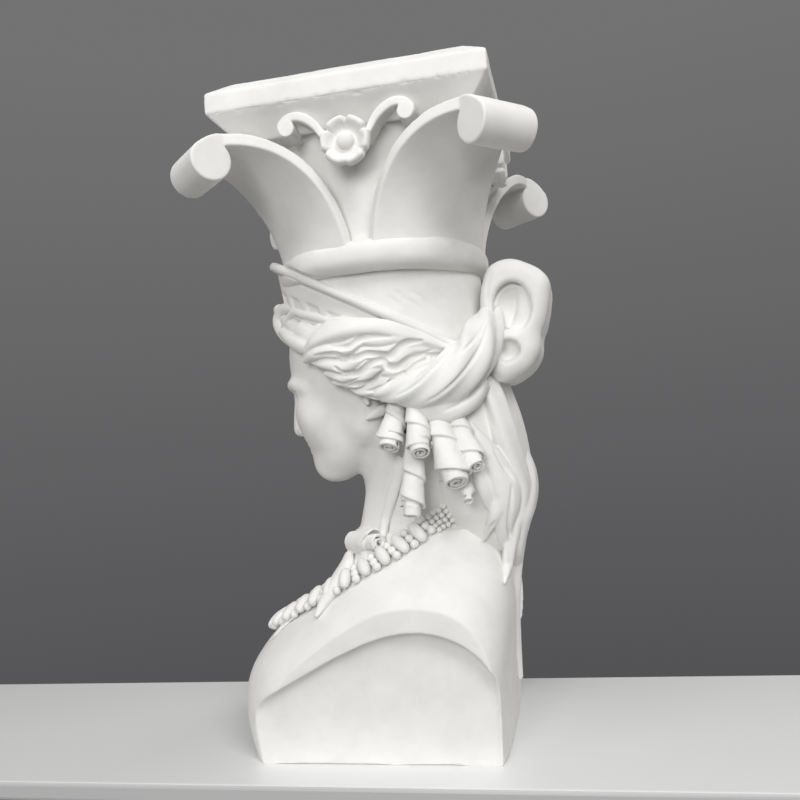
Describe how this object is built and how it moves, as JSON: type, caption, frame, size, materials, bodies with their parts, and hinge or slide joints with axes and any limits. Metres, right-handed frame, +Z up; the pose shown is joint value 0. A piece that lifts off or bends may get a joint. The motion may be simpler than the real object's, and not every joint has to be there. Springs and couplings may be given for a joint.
{
  "type": "caryatid pedestal",
  "caption": "Plaster display pedestal: a classical bust with a diadem, rolled hair and bead necklace carries a leaf capital with a square slab to stand things on.",
  "frame": {"origin": "middle of the foot on the floor", "axes": "+Z up along the pedestal, -Y the way the face looks, +X towards the figure's left shoulder"},
  "size_m": [0.4052, 0.4052, 0.75],
  "materials": {
    "plaster": "matte",
    "board": "matte",
    "iron": "matte",
    "steel": "satin"
  },
  "bodies": {
    "root": {"abacus": "plaster", "astragal_ring": "plaster", "back_tress_inner_left": "plaster", "back_tress_inner_right": "plaster", "back_tress_middle": "plaster", "back_tress_outer_left": "plaster", "back_tress_outer_right": "plaster", "bed_moulding": "plaster", "bun_knot": "plaster", "bun_loop_left": "plaster", "bun_loop_right": "plaster", "bust": "plaster", "capital_bell": "plaster", "chest_lock_left": "plaster", "chest_lock_right": "plaster", "core_pipe": "steel", "diadem": "plaster", "flange_screws": "steel", "floor_flange": "iron", "foot_board": "board", "forelock_left": "plaster", "forelock_right": "plaster", "front_hair_left": "plaster", "front_hair_right": "plaster", "hair_roll_left": "plaster", "hair_roll_right": "plaster", "head": "plaster", "helix_back_far": "plaster", "helix_back_near": "plaster", "helix_front_far": "plaster", "helix_front_near": "plaster", "helix_left_far": "plaster", "helix_left_near": "plaster", "helix_right_far": "plaster", "helix_right_near": "plaster", "neck_lock_left": "plaster", "neck_lock_right": "plaster", "necklace_lower_row": "plaster", "necklace_middle_row": "plaster", "necklace_upper_row": "plaster", "ringlet_left_1": "plaster", "ringlet_left_2": "plaster", "ringlet_left_3": "plaster", "ringlet_left_4": "plaster", "ringlet_left_5": "plaster", "ringlet_right_1": "plaster", "ringlet_right_2": "plaster", "ringlet_right_3": "plaster", "ringlet_right_4": "plaster", "ringlet_right_5": "plaster", "rosette_back": "plaster", "rosette_front": "plaster", "rosette_left": "plaster", "rosette_right": "plaster", "volute_leaf_back_left": "plaster", "volute_leaf_back_right": "plaster", "volute_leaf_front_left": "plaster", "volute_leaf_front_right": "plaster"}
  },
  "joints": []
}
